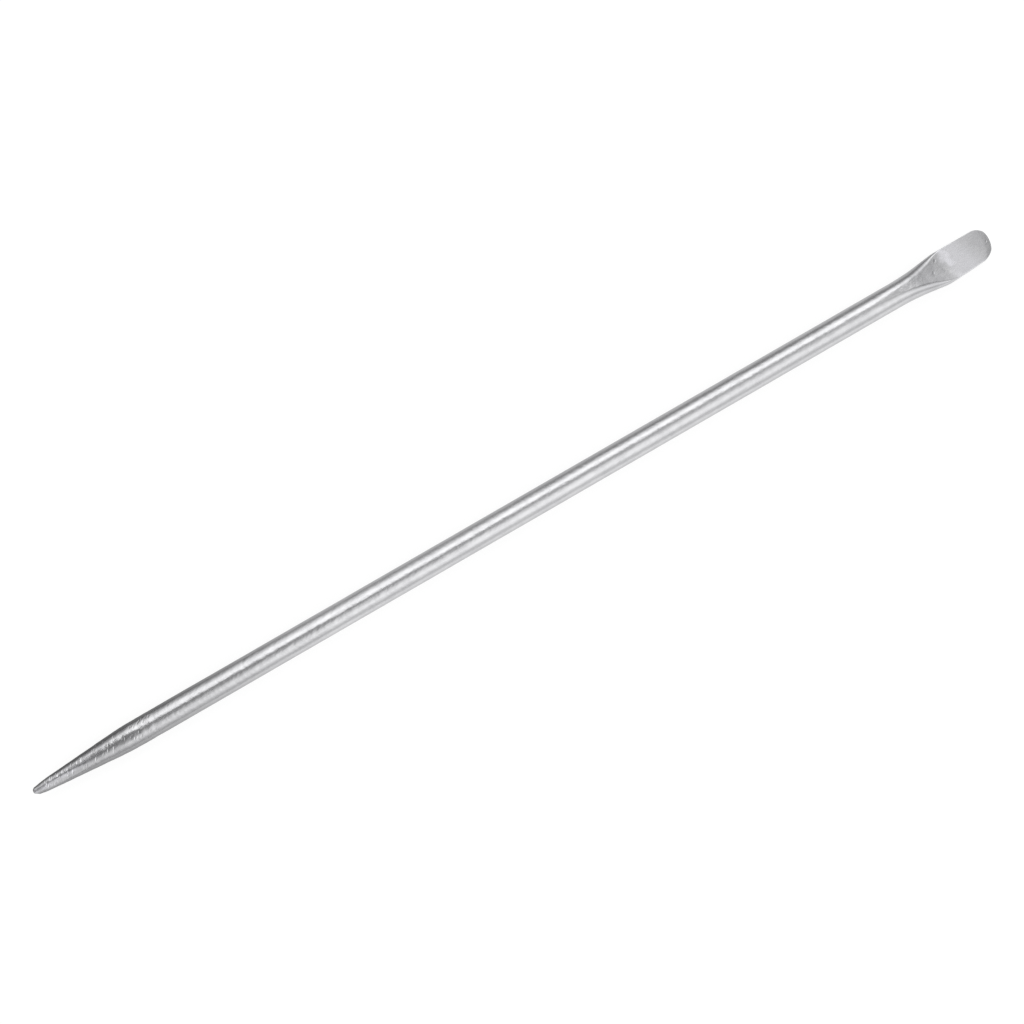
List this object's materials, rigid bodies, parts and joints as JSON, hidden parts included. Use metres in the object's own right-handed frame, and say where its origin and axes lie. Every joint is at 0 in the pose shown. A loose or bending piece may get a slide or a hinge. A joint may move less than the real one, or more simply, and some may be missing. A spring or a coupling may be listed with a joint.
{
  "type": "alignment bar",
  "caption": "Round steel bar with a blunt tapered point and, opposite it, a flat pry blade with a rounded tip, used to line up bolt holes and to pry heavy parts.",
  "frame": {"origin": "middle of the bar's length, on the axis of its round stock", "axes": "+X along the bar from the point to the blade, +Y across the blade's width, +Z out of the blade's upper working face"},
  "size_m": [0.9144, 0.03, 0.022],
  "materials": {
    "plated_steel": "satin plating over forged steel, finely drawn along the round stock, lightly hammered on the point"
  },
  "bodies": {
    "root": {"forged_bar": "plated_steel"}
  },
  "joints": []
}
